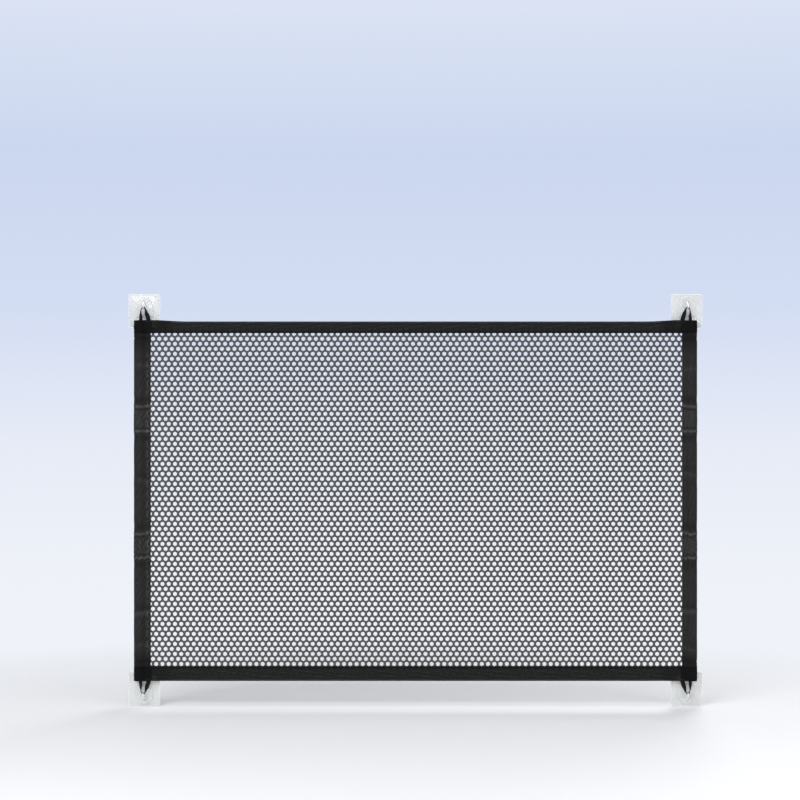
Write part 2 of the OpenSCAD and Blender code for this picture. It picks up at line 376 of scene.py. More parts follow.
def sewing_thread():
    m = Nodes("sewing_thread")
    ply = m.plies(m.place(), 1.1, 0.8, 1.0)
    hair = m.noise(m.place(), 0.12, 2.0)
    m.set(
        Base_Color=m.mix(ply, (0.002, 0.002, 0.0022), (0.012, 0.012, 0.0125)),
        Roughness=m.ramp(hair, 0.3, 0.7, 0.42, 0.6),
        Sheen_Weight=0.04,
        Specular_IOR_Level=0.25,
    )
    m.bump([(0.06, ply), (0.02, hair)])
    return m.owner


def elastic_band():
    m = Nodes("elastic_band")
    weave = weave_height(m, ELASTIC_WEAVE)
    fuzz = m.noise(m.place(), 0.25, 3.0)
    shade = m.noise(m.place(), 6.0, 2.0)
    tone = m.math("MULTIPLY_ADD", weave, 0.5, m.math("MULTIPLY", shade, 0.5))
    m.set(
        Base_Color=m.mix(tone, (0.001, 0.001, 0.0012), (0.008, 0.008, 0.0085)),
        Roughness=m.ramp(fuzz, 0.3, 0.7, 0.55, 0.75),
        Sheen_Weight=0.02,
        Sheen_Roughness=0.4,
        Specular_IOR_Level=0.12,
    )
    m.bump([(0.14, weave), (0.05, fuzz)])
    return m.owner


def clear_plastic():
    m = Nodes("clear_plastic")
    where = m.place()
    flow = m.noise(m.place((1, 1, 0.3)), 18.0, 2.0)
    scuffs = m.noise(where, 1.4, 5.0, 0.7)
    edge = m.add("ShaderNodeLayerWeight", {"Blend": 0.35}).outputs["Facing"]
    m.set(
        Base_Color=m.mix(flow, (0.86, 0.88, 0.9), (0.95, 0.96, 0.97)),
        Roughness=m.ramp(scuffs, 0.35, 0.75, 0.05, 0.2),
        Alpha=m.ramp(edge, 0.0, 1.0, 0.18, 0.75),
        Specular_IOR_Level=0.6,
        Coat_Weight=0.4,
        Coat_Roughness=0.04,
        IOR=1.49,
    )
    m.bump([(0.03, flow), (0.006, scuffs)])
    return m.owner


def gel_pad():
    m = Nodes("gel_pad")
    where = m.place()
    cells = m.add("ShaderNodeTexVoronoi", {"Vector": where, "Scale": 0.9}).outputs["Distance"]
    cloud = m.noise(where, 9.0, 4.0)
    tone = m.math("MULTIPLY_ADD", cells, 0.4, m.math("MULTIPLY", cloud, 0.6))
    m.set(
        Base_Color=m.mix(tone, (0.6, 0.61, 0.6), (0.7, 0.71, 0.7)),
        Roughness=m.ramp(cloud, 0.3, 0.7, 0.3, 0.5),
        Alpha=m.ramp(cloud, 0.3, 0.7, 0.62, 0.72),
        Subsurface_Weight=0.2,
        Subsurface_Radius=(0.002, 0.002, 0.002),
    )
    m.bump([(0.05, cells), (0.05, cloud)])
    return m.owner


def grained(name, stretch, grain, blotches, dark, light, roughness):
    """A hard surface: fine grain, drawn out up the piece, over blotches of another shade."""
    m = Nodes(name)
    fine = m.noise(m.place((1, 1, stretch)), *grain)
    broad = m.noise(m.place(), *blotches)
    m.set(Base_Color=m.mix(broad, dark, light), Roughness=m.ramp(fine, 0.3, 0.7, *roughness))
    return m, fine, broad


def polished_steel():
    m, drawn, wear_and_shading = grained("polished_steel", 0.12, (0.5, 4.0, 0.7), (2.5, 5.0, 0.7),
                             (0.78, 0.79, 0.8), (0.9, 0.9, 0.91), (0.2, 0.36))
    m.set(Metallic=1.0)
    m.bump([(0.01, drawn), (0.008, wear_and_shading)])
    return m.owner


def painted_tube():
    m, drawn, wear_and_shading = grained("painted_tube", 0.05, (0.8, 4.0), (12.0, 5.0, 0.7),
                             (0.03, 0.03, 0.032), (0.09, 0.09, 0.095), (0.3, 0.5))
    m.set(Metallic=m.ramp(wear_and_shading, 0.55, 0.75, 0.2, 0.9))
    m.bump([(0.02, drawn)])
    return m.owner


def moulded_plastic():
    m, grain, _ = grained("moulded_plastic", 1, (0.4, 4.0), (8.0, 3.0),
                          (0.012, 0.012, 0.013), (0.03, 0.03, 0.032), (0.4, 0.6))
    m.bump([(0.03, grain)])
    return m.owner


MATERIALS = {
    "net": net_yarn((0.032, 0.032, 0.0335), (0.068, 0.068, 0.0705)),
    # The third colour of each cloth is its painted highlight, partly wear, on ridges, rolls and folds
    "binding_fabric": fabric(
        "binding_cloth", dark=(0.0035, 0.0035, 0.0038), light=(0.014, 0.014, 0.0144),
        highlight_and_wear=(0.05, 0.052, 0.055), specular=0.11, sheen=0.04,
    ),
    "sleeve_fabric": fabric(
        "sleeve_cloth", dark=(0.004, 0.004, 0.0042), light=(0.0235, 0.0235, 0.0238),
        highlight_and_wear=(0.085, 0.086, 0.088), specular=0.13, sheen=0.05,
    ),
    "patch_fabric": fabric(
        "patch_cloth", dark=(0.0012, 0.0012, 0.0014), light=(0.006, 0.006, 0.0063),
        highlight_and_wear=(0.02, 0.02, 0.021), specular=0.07, sheen=0.01,
    ),
    "thread": sewing_thread(),
    "elastic": elastic_band(),
    "clear_plastic": clear_plastic(),
    "adhesive": gel_pad(),
    "hook_steel": polished_steel(),
    "tube_steel": painted_tube(),
    "plug_plastic": moulded_plastic(),
}


def paint(obj, slot):
    obj.data.materials.clear()
    obj.data.materials.append(MATERIALS[slot])


def finish_piece(obj, slot, *nodes, body=None):
    """Gives a piece its material, the CAD nodes that it stands for, and its body."""
    paint(obj, slot)
    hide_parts(*nodes)
    if body:
        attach(obj, body)
    return obj


# ---------- the net ----------

def make_net():
    """Strands with a rounded section round staggered holes, as one closed mesh."""
    half_t = (net_hi[1] - net_lo[1]) / 2
    margin = 2.5
    centres = []
    for row in range(-1, int((FIRST_ROW_Z - NET_Z0) / ROW_PITCH) + 2):
        x = FIRST_HOLE_X - (row % 2) * HOLE_PITCH / 2
        x -= HOLE_PITCH * math.floor((x - (NET_X0 - margin)) / HOLE_PITCH)
        while x <= NET_X1 + margin:
            centres.append((x, FIRST_ROW_Z - row * ROW_PITCH))
            x += HOLE_PITCH
    centres = np.array(centres)

    # Each hole's cell is a six-sided piece of the net, and the cells fill it
    half, side = HOLE_PITCH / 2, (ROW_PITCH - HOLE_PITCH ** 2 / (4 * ROW_PITCH)) / 2
    corners = np.array([(half, -side), (half, side), (0, ROW_PITCH - side),
                        (-half, side), (-half, -side), (0, side - ROW_PITCH)])
    rim_angle = TAU * np.arange(HOLE_SIDES) / HOLE_SIDES
    rim = HOLE_R * np.stack([np.cos(rim_angle), np.sin(rim_angle)], axis=1)

    # Corners shared by neighbouring cells become one point
    all_corners = (centres[:, None] + corners[None]).reshape(-1, 2)
    keys = np.round(2 * all_corners).astype(int)
    _, first, shared = np.unique(keys, axis=0, return_index=True, return_inverse=True)
    points = all_corners[first]
    shared = shared.reshape(-1, 6)
    rims = (centres[:, None] + rim[None]).reshape(-1, 2)

    def at_depth(flat, y):
        return np.stack([flat[:, 0], np.full(len(flat), y), flat[:, 1]], axis=1)

    count, n_points = len(centres), len(points)
    verts = np.concatenate([
        at_depth(rims, PANEL_Y), at_depth(points, PANEL_Y - half_t), at_depth(points, PANEL_Y + half_t)
    ])

    # One cell's triangles: a walk round its rim and its corners, from the last corner,
    # which is just below the angle 0
    corner_angle = np.arctan2(corners[:, 1], corners[:, 0]) % TAU
    order = np.argsort(corner_angle)
    rim_angles, rim_ids = [*rim_angle, TAU], [*range(HOLE_SIDES), 0]
    corner_angles = [corner_angle[order[-1]] - TAU, *corner_angle[order]]
    corner_ids = [order[-1], *order]
    pattern, i, j = [], 0, 0
    while i < HOLE_SIDES or j < len(corners):
        on_rim = j >= len(corners) or (
            i < HOLE_SIDES
            and rim_angles[i] + rim_angles[i + 1] < corner_angles[j] + corner_angles[j + 1]
        )
        here = (("rim", rim_ids[i]), ("corner", corner_ids[j]))
        if on_rim:
            i += 1
            pattern.append((*here, ("rim", rim_ids[i])))
        else:
            j += 1
            pattern.append((*here, ("corner", corner_ids[j])))

    rim_start, first_point = HOLE_SIDES * np.arange(count), HOLE_SIDES * count
    tris = []
    for tri in pattern:
        for offset, flip in ((0, False), (n_points, True)):
            cols = [rim_start + k if kind == "rim" else first_point + offset + shared[:, k]
                    for kind, k in tri]
            tris.append(np.stack(cols[::-1] if flip else cols, axis=1))
    # Walls where the net ends, inside its bindings
    edges = np.concatenate([
        np.stack([shared[:, a], shared[:, b]], axis=1)
        for a, b in zip(order, np.roll(order, -1))
    ])
    low = np.sort(edges, axis=1)
    _, where, times = np.unique(low, axis=0, return_index=True, return_counts=True)
    a, b = (edges[where[times == 1]] + first_point).T
    tris.append(np.stack([a, b, b + n_points], axis=1))
    tris.append(np.stack([a, b + n_points, a + n_points], axis=1))
    net = build("net", verts, np.concatenate(tris).tolist())
    return finish_piece(net, "net", "mesh_panel", body="panel")


# ---------- bindings ----------

def rows_with_lines(top, lines):
    """Heights 1.5 mm apart from 0 to top, with closer ones across each line."""
    rows = [*np.arange(0, top, 1.5), top]
    for line in lines:
        rows = [r for r in rows if abs(r - line) > 1.6 or r in (0, top)]
        rows += [line + d for d in (-1.3, -0.8, -0.4, 0, 0.4, 0.8, 1.3)]
    return np.array(sorted(set(np.round(rows, 3))))


BINDING_COLUMNS = 620
ROLL = 4.4


def make_binding(name, node, open_z, fold_z, seed, rise):
    """A strip folded over the net's edge, from its stitched edge at open_z to its fold at
    fold_z, which stands higher by rise at the strip's ends. A groove sets off its roll."""
    up = 1 if fold_z > open_z else -1
    height = abs(fold_z - open_z)
    seam, groove = STITCH_INSET, height - ROLL
    straight = rows_with_lines(height - FOLD_HALF, (seam, groove))
    turn = np.linspace(0, math.pi, 9)[1:-1]
    # The section: front from the open edge to the fold, and down the back
    section = [(-FOLD_HALF, h) for h in straight]
    section += [(-FOLD_HALF * math.cos(t), height - FOLD_HALF * (1 - math.sin(t))) for t in turn]
    section += [(FOLD_HALF, h) for h in straight[::-1]]
    section = np.array(section)
    along = lengths_along(section)
    normal = outward(section, 0)
    x = np.arange(NET_X0, NET_X1 + 0.01, (NET_X1 - NET_X0) / BINDING_COLUMNS)
    X, S = np.meshgrid(x, along, indexing="ij")
    Y = np.broadcast_to(section[:, 0], X.shape)
    H = np.broadcast_to(section[:, 1], X.shape)
    front = Y < 0
    apart = X + np.where(front, 0, 37.0)

    # Corners stand higher than the middle of the edge
    from_end = np.minimum(X - NET_X0, NET_X1 - X)
    lift = rise * (1 - smooth_step((from_end - 6) / 66))
    Z = open_z + up * (H * (height + lift) / height)

    flat = smooth_step((height - 1.0 - H) / 3)
    pucker = ripple(X, H, seed, 17, 30) * bump(H - seam, 4.5) * 0.22
    sag = ripple(apart, H, seed + 1, 130, 40) * 0.3
    streaks = ripple(apart, H, seed + 2, 60, 5) * 0.12
    # The net's holes show through the cloth, less towards the fold
    imprint = -0.3 * hole_field(X, Z) * flat
    imprint *= smooth_step((H + 1) / 3) * (1 - 0.75 * smooth_step((H - height * 0.55) / 5))
    # The thread pulls the cloth in at every stitch
    pull = 0.5 + 0.5 * np.cos(TAU * (X - NET_X0) / STITCH_PITCH)
    sewn = -(0.2 + 0.22 * pull) * bump(H - seam, 0.75)
    hem = 0.22 * smooth_step((2.2 - H) / 1.0)
    crease = -0.3 * bump(H - groove, 0.9)
    roll = 0.35 * np.sqrt(np.clip(1 - ((H - (height - ROLL / 2)) / 2.4) ** 2, 0, 1))
    puff = 0.55 * bump(from_end - 14, 9) * bump(H - (height - 5), 4.5) * front
    out = pucker + (sag + streaks + imprint) * flat + sewn + hem + crease + roll + puff
    wave = 0.4 * np.cos(TAU * (X - FIRST_HOLE_X) / HOLE_PITCH) * bump(H, 1.2)

    def points(shift, amount):
        ny, nz = normal[:, 0], normal[:, 1]
        yy = PANEL_Y + Y + ny * (out * amount + shift)
        zz = Z + up * (nz * (out * amount + shift)) + up * wave
        return np.stack([X, yy, zz], axis=-1)

    uv = np.stack([X, S], axis=-1)
    # Painted highlights along the roll and near the corners; painted shade in the groove, along the
    # seam, at the ends next to the patches and in the dimples over the net's holes; random streaks of
    # tone
    wear_and_shading = 0.55 * bump(H - (height - 2.3), 1.5) - 0.5 * bump(H - groove, 1.0)
    wear_and_shading = wear_and_shading - 1.5 * bump(H - seam, 1.3)
    wear_and_shading = wear_and_shading + 0.6 * bump(from_end - 7, 6) * bump(H - (height - 7), 5.0) * front
    wear_and_shading = wear_and_shading - (0.6 if rise else 0.35) * (1 - smooth_step((from_end - 26) / 24))
    wear_and_shading = wear_and_shading + 0.35 * ripple(X, H, seed + 3, 40, 4) * smooth_step(1 - abs(H / height - 0.5))
    wear_and_shading = wear_and_shading - 0.3 * hole_field(X, Z) * flat * (1 - smooth_step((H - height * 0.55) / 5))
    obj = shell(name, points(0, 1), points(-CLOTH, 0.8), uv, wear_and_shading)
    finish_piece(obj, "binding_fabric", node, body="panel")
    return obj, along[-1]


# ---------- sleeves and corner patches ----------

def sleeve_path(r, reach, half):
    """A sleeve's outer section in its own X-Y: the flat seam from reach, a flare, round the
    pole, and back to the seam's other face."""
    flare = math.radians(65)
    end = r + 5.5
    flat = [(x, half) for x in np.arange(reach, end, -1.2)]
    p0 = np.array([r * math.cos(flare), r * math.sin(flare)])
    p1 = p0 + 4.2 * np.array([math.sin(flare), -math.cos(flare)])
    p3 = np.array([end, half])
    p2 = p3 - np.array([4.6, 0])
    t = np.linspace(0, 1, 9)[:, None]
    bezier = (1 - t) ** 3 * p3 + 3 * (1 - t) ** 2 * t * p2 + 3 * (1 - t) * t ** 2 * p1 + t ** 3 * p0
    arc = np.linspace(flare, math.pi, 17)[1:]
    half_path = flat + [tuple(p) for p in bezier] + [(r * math.cos(a), r * math.sin(a)) for a in arc]
    front = [(x, -y) for x, y in half_path]
    back = [(x, y) for x, y in half_path[:-1]][::-1]
    return np.array(front + back)


# Heights of the creases across both sleeves: sharp ones come in pairs, with the cloth
# standing proud between them, and soft ones are single, with their strengths
CREASE_PAIRS = ((540.0, 590.5), (292.8, 342.0))
SOFT_FOLDS = ((190.0, 0.6), (120.0, 0.25), (452.0, 0.3), (668.0, 0.3))
SLEEVE_SLACK = 0.35


def crease_pair(z, low, high):
    """How far the cloth stands out across a pair of creases, and its painted highlights, partly wear, on
    the ridges and painted shade in the hollows and nicks.
    """
    ridges = bump(z - high, 2.4) + bump(z - low, 2.4)
    between = smooth_step((z - low) / 5) * smooth_step((high - z) / 5)
    hollows = bump(z - high - 13, 7) + bump(z - low + 13, 7)
    nicks = bump(z - high + 6, 2.0) + bump(z - low - 6, 2.0)
    height = 1.15 * ridges + 0.5 * between - 0.75 * hollows - 0.5 * nicks
    return height, 0.7 * ridges + 0.17 * between - 0.5 * hollows - 0.35 * nicks, between


def sleeve_folds(S, Z, from_edge, front, on_round, seed):
    """How far all the creases across a sleeve stand out, and their painted highlights, partly wear, and
    painted shade.
    """
    sag = 2.4 * (1 - ((from_edge - 22) / 18) ** 2)
    folds, wear_and_shading = 0, 0
    for k, (low, high) in enumerate(CREASE_PAIRS):
        tilt = 0.05 * math.sin(seed + 3 * k) * (from_edge - 20)
        there = Z + tilt + np.where(front, 0, 7 * math.cos(k + seed)) * on_round
        there = there + 0.8 * ripple(S, Z, seed + 20 + k, 14, 200)
        warped = there + sag * smooth_step((there - (low + high) / 2) / 30 + 0.5)
        height, highlight_and_wear, between = crease_pair(warped, low, high)
        crumple = ripple(S, Z, seed + 9 + k, 8, 7) * between
        height, highlight_and_wear = height + 0.4 * crumple, highlight_and_wear + 0.12 * crumple
        highlight_and_wear = highlight_and_wear * (0.85 + 0.3 * ripple(S, Z, seed + 30 + k, 12, 60))
        folds, wear_and_shading = folds + height, wear_and_shading + highlight_and_wear * np.where(front, 1, 0.6)
    for k, (line, strength) in enumerate(SOFT_FOLDS):
        d = Z - line - 6 * math.sin(seed + 2.4 * k) - 0.15 * math.sin(seed + k) * (from_edge - 20)
        folds = folds + strength * (bump(d, 4.0) - 0.6 * bump(d - 9, 6))
        # Painted highlight along each soft fold, and painted shade about 8 mm above it
        wear_and_shading = wear_and_shading + 0.5 * strength * (bump(d + 2, 5.0) - bump(d - 8, 6))
    return folds, wear_and_shading


def make_sleeve(name, node, right, seed):
    """A strip of cloth round a pole, sewn to itself and to the net along its flat seam."""
    reach = RIGHT_REACH if right else LEFT_REACH
    mirror = -1 if right else 1
    path = sleeve_path(SLEEVE_R, reach, FOLD_HALF)
    along = lengths_along(path)
    normal = outward(path, 1)
    lo, hi = node_box(node)
    # Rows about 2 mm apart, with closer ones at the creases
    z = set(np.round(np.linspace(lo[2], hi[2], 371), 2))
    for pair in CREASE_PAIRS:
        for line in pair:
            z |= set(np.round(np.arange(line - 11, line + 8, 0.8), 2))
    z = np.array(sorted(z))
    Zb, S = np.meshgrid(z, along, indexing="ij")
    LX = np.broadcast_to(path[:, 0], Zb.shape)
    LY = np.broadcast_to(path[:, 1], Zb.shape)
    front = LY < 0.001
    from_edge = np.minimum(S, along[-1] - S)

    on_strip = smooth_step((LX - SLEEVE_R - 3) / 2.5)
    on_round = smooth_step((SLEEVE_R + 2 - LX) / 5)
    facing = 0.3 + 0.7 * smooth_step((along[-1] / 2 - from_edge) / 9)
    holes = hole_field(mirror * (LX - POLE_X), Zb)
    imprint = -0.5 * holes * on_strip
    slack = ripple(S, Zb, seed, 45, 90) * 0.3 + ripple(S, Zb, seed + 1, 16, 28) * 0.16
    folds, wear_and_shading = sleeve_folds(S, Zb, from_edge, front, on_round, seed)
    stitch = 0.5 + 0.5 * np.cos(TAU * (Zb - NET_Z0) / STITCH_PITCH)
    seam = -(0.16 + 0.2 * stitch) * bump(from_edge - STITCH_INSET, 0.8)
    hem = 0.2 * smooth_step((1.8 - from_edge) / 1.0)
    out = slack * (0.35 + 0.65 * on_round) + folds * (0.3 + 0.7 * on_round)
    out = out * facing + imprint + seam + hem
    # Kept clear of the pole inside, and snug under the patches
    out = np.where(LX < SLEEVE_R, np.clip(out, -0.9, 1.9), out) + SLEEVE_SLACK * on_round
    from_patch = np.minimum(Zb - bottom_corner_hi[2], corner_lo[2] - Zb)
    end = smooth_step(from_patch / 6)
    gather = 0.6 * bump(from_patch - 10, 2.6) * (1 + 0.5 * ripple(S, Zb, seed + 5, 9, 40))
    out = (out - gather * on_round) * end
    scallop = 0.45 * np.cos(TAU * (Zb - FIRST_ROW_Z) / ROW_PITCH) * bump(from_edge, 1.2)
    # Painted light and shade: lighter over the net's strands and painted shade over its holes on the
    # flat strip, painted shade along the seam, towards the patches and in the gathered fold by them; a
    # little random tone
    wear_and_shading = wear_and_shading * end + 0.6 * (0.45 - holes) * on_strip
    wear_and_shading = wear_and_shading - 0.5 * bump(from_edge - STITCH_INSET, 0.9) + 0.12 * ripple(S, Zb, seed + 6, 8, 12)
    shaded = np.where(Zb > (PANEL_Z0 + PANEL_Z1) / 2, 40, 24)
    wear_and_shading = wear_and_shading - 0.8 * (1 - smooth_step((from_patch - 10) / shaded)) - 1.2 * gather

    def points(shift, amount):
        nx, ny = normal[:, 0], normal[:, 1]
        lx = LX + nx * (out * amount + shift) - scallop
        ly = LY + ny * (out * amount + shift)
        return np.stack([mirror * (lx - POLE_X), PANEL_Y + ly, Zb], axis=-1)

    uv = np.stack([S, Zb], axis=-1)
    obj = shell(name, points(0, 1), points(-CLOTH, 0.9), uv, wear_and_shading)
    finish_piece(obj, "sleeve_fabric", node, body="panel")
    return obj, along[-1]


def make_patch(name, node, right, bottom, seed):
    """A fabric cap over a sleeve's end, sewn shut along its end."""
    lo, hi = node_box(node)
    height = hi[2] - lo[2]
    reach = (RIGHT_REACH if right else LEFT_REACH) + 2.2
    mirror = -1 if right else 1
    path = sleeve_path(SLEEVE_R + 0.5, reach, FOLD_HALF + 0.6)
    along = lengths_along(path)
    normal = outward(path, 1)
    # Rings up the cap: straight, turned in at its end, and drawn together across it
    turn_h, turn_in = 2.2, 1.5
    rise = list(np.linspace(0, height - turn_h, 14))
    squeeze = [1.0] * len(rise)
    inset = [0.0] * len(rise)
    for t in np.linspace(0, math.pi / 2, 6)[1:]:
        rise.append(height - turn_h + 2.0 * math.sin(t))
        squeeze.append(1 - 0.16 * (1 - math.cos(t)))
        inset.append(turn_in * (1 - math.cos(t)))
    for t in np.linspace(0, 1, 8)[1:]:
        rise.append(height - 0.2 + 0.35 * t ** 3)
        squeeze.append(0.84 * (1 - t))
        inset.append(turn_in)
    rise, squeeze, inset = (np.array(v)[:, None] for v in (rise, squeeze, inset))
    n = len(rise)
    S = np.broadcast_to(along, (n, len(along)))
    wrinkle = 0.22 * ripple(S, rise, seed, 14, 16) * np.clip(1 - inset, 0, 1)
    wrinkle = wrinkle + 0.18 * smooth_step((1.8 - rise) / 1.0) - 0.2 * bump(rise - 3, 0.8)

    def points(shift, top):
        lx = path[:, 0] + normal[:, 0] * (shift + wrinkle)
        ly = path[:, 1] + normal[:, 1] * (shift + wrinkle)
        lx = np.where(lx < 0, np.minimum(lx + inset, 0), lx)
        up = np.where(inset > 0, rise - top, np.minimum(rise, height - turn_h))
        z = np.broadcast_to(hi[2] - up if bottom else lo[2] + up, lx.shape)
        return np.stack([mirror * (lx - POLE_X), PANEL_Y + ly * squeeze, z], axis=-1)

    uv = np.stack([S, np.broadcast_to(1.6 * np.arange(1, n + 1)[:, None], S.shape)], axis=-1)
    # Painted highlight along the turned-in end, and painted shade in the groove 3 mm from the open edge
    wear_and_shading = 0.4 * smooth_step(inset) * (1 - smooth_step(inset - 1)) - 0.8 * bump(rise - 3, 0.9)
    obj = shell(name, points(0, 0), points(-CLOTH, CLOTH), uv, wear_and_shading, closed_top=True)
    return finish_piece(obj, "patch_fabric", node, body="panel"), along[-1], height


# ---------- sewing ----------

def stitch_mesh(name, runs, radius=0.26, sides=6):
    """Separate stitches from (start, end, outward) rows: each rises out of the cloth and dips back."""
    runs = np.asarray(runs, float)
    start, end, out = runs[:, 0], runs[:, 1], runs[:, 2]
    along = end - start
    length = np.linalg.norm(along, axis=1, keepdims=True)
    along /= length
    across = np.cross(along, out)
    t = np.array([0.0, 0.12, 0.35, 0.65, 0.88, 1.0])
    lift = np.array([-0.3, -0.02, 0.17, 0.17, -0.02, -0.3])
    thick = np.array([0.35, 0.85, 1.0, 1.0, 0.85, 0.35]) * radius
    rings = []
    for ti, li, ri in zip(t, lift, thick):
        centre = start + along * length * ti + out * li
        for k in range(sides):
            a = TAU * k / sides
            rings.append(centre + ri * (math.cos(a) * out + math.sin(a) * across))
    verts = np.stack(rings, axis=1)
    per = verts.shape[1]
    one = closed_tube(len(t), sides)
    faces = [[v + per * k for v in f] for k in range(len(runs)) for f in one]
    return build(name, verts.reshape(-1, 3), faces)


def line_of_stitches(a, b, out):
    """Stitches from a to b along a straight seam."""
    a, b, out = (np.array(v, float) for v in (a, b, out))
    length = np.linalg.norm(b - a)
    step = (b - a) / length
    count = int(length // STITCH_PITCH)
    rows = []
    for k in range(count):
        at = a + step * (k * STITCH_PITCH + 0.35)
        rows.append((at, at + step * (STITCH_PITCH - 0.7), out))
    return rows


def seam_stitches(name, node, start, end, depth):
    """Both faces of a straight seam between two X-Z points, depth from the panel's middle."""
    rows = []
    for side in (-1, 1):
        y = PANEL_Y + side * depth
        rows += line_of_stitches((start[0], y, start[1]), (end[0], y, end[1]), (0, side, 0))
    finish_piece(stitch_mesh(name, rows), "thread", node, body="panel")


def make_stitching():
    for edge, z in (("top", NET_Z1 + STITCH_INSET), ("bottom", NET_Z0 - STITCH_INSET)):
        seam_stitches(f"{edge}_binding_stitches", f"{edge}_binding_stitching",
                      (NET_X0 + 2.4, z), (NET_X1 - 2.4, z), FOLD_HALF - 0.2)
    for edge, x in (("left", NET_X0 - STITCH_INSET), ("right", NET_X1 + STITCH_INSET)):
        seam_stitches(f"{edge}_sleeve_stitches", f"{edge}_sleeve_stitching",
                      (x, NET_Z0 + 0.5), (x, NET_Z1 - 0.5), FOLD_HALF - 0.15)

    # Bar tacks: upright stitches side by side, across the inner leg of each loop
    rows, tacks = [], 11
    for _, right, bottom in CORNERS:
        for side in (-1, 1):
            for k in range(tacks):
                x = INNER_LEG_X - TACK_WIDTH / 2 + TACK_WIDTH * k / (tacks - 1)
                low = at_corner((x - 0.3, 0, PANEL_Z1 - 4.4), right, bottom)
                high = at_corner((x + 0.3, 0, PANEL_Z1 - 2.6), right, bottom)
                low[1] = high[1] = PANEL_Y + side * (FOLD_HALF + 0.75)
                rows.append((low, high, (0, side, 0)))
    finish_piece(stitch_mesh("bar_tacks", rows, 0.3), "thread", "corner_bar_tacks", body="panel")


# ---------- loops ----------

def spline(points, count):
    """A smooth path through points (Catmull-Rom), evenly spaced by parameter."""
    p = np.array(points, float)
    p = np.vstack([2 * p[0] - p[1], p, 2 * p[-1] - p[-2]])
    out = []
    segments = len(p) - 3
    for t in np.linspace(0, segments, count):
        i = min(int(t), segments - 1)
        u = t - i
        a, b, c, d = p[i:i + 4]
        out.append(0.5 * (2 * b + (c - a) * u + (2 * a - 5 * b + 4 * c - d) * u ** 2
                          + (3 * b - a - 3 * c + d) * u ** 3))
    return np.array(out)


def loop_mesh(name, right, bottom):
    """Flat elastic from one leg over the hook to the other, turned edge-on at the hook."""
    mid, edge, leg = -HOOK_X, PANEL_Z1, OUTER_LEG_X
    r = WIRE_R + 0.95
    # x, z, width, and turn from edge-on in degrees
    stations = [
        (leg - 0.1, edge - 1.2, 9.6, 50), (leg - 0.1, edge + 3, 9.5, 50), (leg - 0.1, edge + 8, 9.2, 46),
        (leg - 0.2, edge + 13, 8.4, 32), (leg + 0.1, edge + 18, 7.4, 17),
        (mid - r - 1.0, BEND_Z - 1.2, 6.6, 6), (mid - r * 0.8, BEND_Z + 1.5, 6.2, 0),
        (mid, loop_hi[2] - 0.8, 6.0, 0),
        (mid + r * 0.8, BEND_Z + 1.5, 6.2, 0), (mid + r + 1.5, BEND_Z - 2.2, 6.8, 10),
        (mid + 4.9, edge + 18, 7.8, 27), (mid + 6.7, edge + 12, 9.0, 52), (mid + 8.4, edge + 7, 8.4, 70),
        (mid + 9.5, edge + 3, 8.7, 78), (INNER_LEG_X + 0.7, edge - 1.2, 9.0, 82),
    ]
    data = spline(stations, 110)
    # Section of the flat elastic: square ends, and cords under its skin
    around = 36
    a = TAU * np.arange(around) / around
    square = np.abs(np.cos(a)) ** 0.35 * np.sign(np.cos(a))
    flat = np.abs(np.sin(a)) ** 0.8 * np.sign(np.sin(a))
    cords = 1 + 0.16 * np.cos(square * 0.5 * TAU * 5)
    tangent = np.gradient(data[:, :2], axis=0)
    tangent /= np.linalg.norm(tangent, axis=1, keepdims=True)
    rows, uv = [], []
    for (x, z, width, turn), (tx, tz), run in zip(data, tangent, lengths_along(data[:, :2])):
        across, depth = np.array([-tz, 0, tx]), np.array([0, 1.0, 0])
        w = math.radians(turn)
        wide = math.cos(w) * depth + math.sin(w) * across
        thick = math.cos(w) * across - math.sin(w) * depth
        ring = np.array([x, PANEL_Y, z]) + np.outer(square * width / 2, wide)
        ring = ring + np.outer(flat * cords * 0.62, thick)
        rows.append([at_corner(p, right, bottom) for p in ring])
        uv += [(s, run) for s in square * width / 2]
    faces = closed_tube(len(rows), around)
    return build(name, np.array(rows).reshape(-1, 3), faces, uv=np.array(uv), sharp=75)


def make_loops():
    for corner, right, bottom in CORNERS:
        obj = loop_mesh(f"{corner}_elastic_loop", right, bottom)
        finish_piece(obj, "elastic", f"{corner}_loop")
        if right:
            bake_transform(obj)
        else:
            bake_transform(obj)


# ---------- wall hooks ----------

BOSS_H = 5.0
PLATE_T = 2.0
ARCH_W = 33.0
ARCH_SLOPE = 0.6


def ring_solid(outline, normal, rings, middle):
    """A moulded solid from one outline, in rings of (inset, distance off the wall)."""
    verts = []
    for inset, off in rings:
        ring = outline - normal * inset + middle
        verts.append(np.stack([ring[:, 0], np.full(len(ring), WALL_Y - off), ring[:, 1]], axis=1))
    return np.concatenate(verts), closed_tube(len(rings), len(outline))


def rounded_rectangle(w, h, r):
    points, normals = [], []
    for k, (cx, cz) in enumerate(((1, 1), (-1, 1), (-1, -1), (1, -1))):
        for a in np.linspace(k * math.pi / 2, (k + 1) * math.pi / 2, 9):
            n = (math.cos(a), math.sin(a))
            points.append((cx * (w / 2 - r) + r * n[0], cz * (h / 2 - r) + r * n[1]))
            normals.append(n)
    return np.array(points), np.array(normals)


